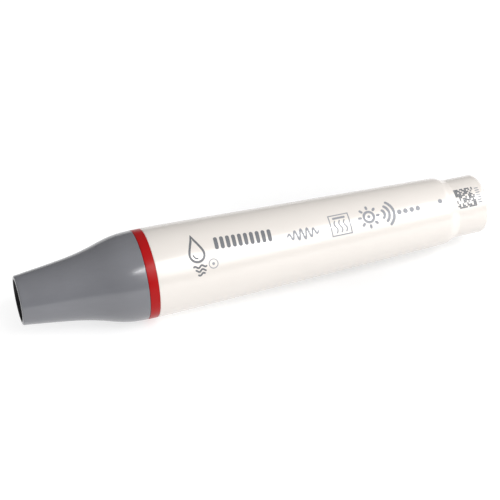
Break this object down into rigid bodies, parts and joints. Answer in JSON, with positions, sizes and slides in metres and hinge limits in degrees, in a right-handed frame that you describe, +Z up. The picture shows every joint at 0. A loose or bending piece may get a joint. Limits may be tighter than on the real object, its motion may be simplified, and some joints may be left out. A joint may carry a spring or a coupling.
{
  "type": "ultrasonic scaler handpiece",
  "caption": "Slim tapered dental handpiece with a flared screw-off nose, a colour ring, a lamp ring inside the nose and a socket in its narrower tail.",
  "frame": {"origin": "centre of the tail socket's mouth, on the handpiece's axis", "axes": "+X out of the tail towards the cord, so the nose points along -X; +Z up as it lies; the marked side faces -Y and up"},
  "size_m": [0.1097, 0.02, 0.02],
  "materials": {
    "nose_plastic": "satin, fine moulded grain",
    "ring_plastic": "gloss",
    "casing_plastic": "gloss, warm ivory",
    "clear_plastic": "polished clear",
    "white_board": "satin solder mask",
    "lamp_phosphor": "soft matt",
    "pale_plastic": "satin",
    "dark_plastic": "satin",
    "gold_plate": "plated, bright",
    "titanium": "turned, satin",
    "steel": "turned",
    "ceramic": "lapped matt",
    "black_rubber": "matt",
    "red_rubber": "matt silicone",
    "clear_tube": "translucent silicone",
    "red_wire": "insulation",
    "black_wire": "insulation",
    "yellow_wire": "insulation"
  },
  "bodies": {
    "handpiece": {"lamp_socket": "dark_plastic", "lamp_contacts": "gold_plate", "main_casing": "casing_plastic", "transducer_housing": "dark_plastic", "tail_sleeve": "casing_plastic", "horn": "titanium", "neck_o_ring": "red_rubber", "flange_o_ring_front": "black_rubber", "flange_o_ring_rear": "black_rubber", "flange_retainer": "steel", "piezo_ring_1": "ceramic", "piezo_ring_2": "ceramic", "piezo_ring_3": "ceramic", "piezo_ring_4": "ceramic", "electrode_1": "gold_plate", "electrode_2": "gold_plate", "electrode_3": "gold_plate", "electrode_4": "gold_plate", "insulating_sleeve": "pale_plastic", "back_mass": "steel", "damper_ring": "black_rubber", "prestress_bolt": "steel", "water_tube": "clear_tube", "live_lead": "red_wire", "ground_lead": "black_wire", "lamp_leads": "yellow_wire", "connector_block": "dark_plastic", "connector_retainer": "steel", "contact_sleeves": "gold_plate", "socket_o_ring": "red_rubber", "port_o_ring": "black_rubber"},
    "colour_ring": {"colour_ring": "ring_plastic"},
    "nose_seal": {"nose_seal": "black_rubber"},
    "nose_cone": {"nose_cone": "nose_plastic"},
    "light_guide": {"light_guide": "clear_plastic"},
    "lamp_unit": {"lamp_board": "white_board", "lamps": "lamp_phosphor", "lamp_carrier": "pale_plastic", "lamp_pins": "gold_plate"}
  },
  "joints": [
    {"name": "nose_draw_off", "type": "slide", "parent": "handpiece", "child": "colour_ring", "axis": [-1, 0, 0], "range_m": [0, 0.064]},
    {"name": "nose_screw_travel", "type": "slide", "parent": "colour_ring", "child": "nose_seal", "axis": [-1, 0, 0], "range_m": [0, 0.006]},
    {"name": "nose_unscrew", "type": "hinge", "parent": "nose_seal", "child": "nose_cone", "pos_m": [0, 0, 0], "axis": [-1, 0, 0], "range_deg": [0, 1440]},
    {"name": "light_guide_pull", "type": "slide", "parent": "handpiece", "child": "light_guide", "axis": [-1, 0, 0], "range_m": [0, 0.037]},
    {"name": "lamp_unit_pull", "type": "slide", "parent": "handpiece", "child": "lamp_unit", "axis": [-1, 0, 0], "range_m": [0, 0.02]}
  ],
  "couplings": [
    {"joint": "nose_unscrew", "follows": "nose_screw_travel", "rad_per_m": 4188.8},
    {"joint": "light_guide_pull", "follows": "nose_draw_off", "ratio": 0.57812},
    {"joint": "lamp_unit_pull", "follows": "nose_draw_off", "ratio": 0.3125}
  ]
}
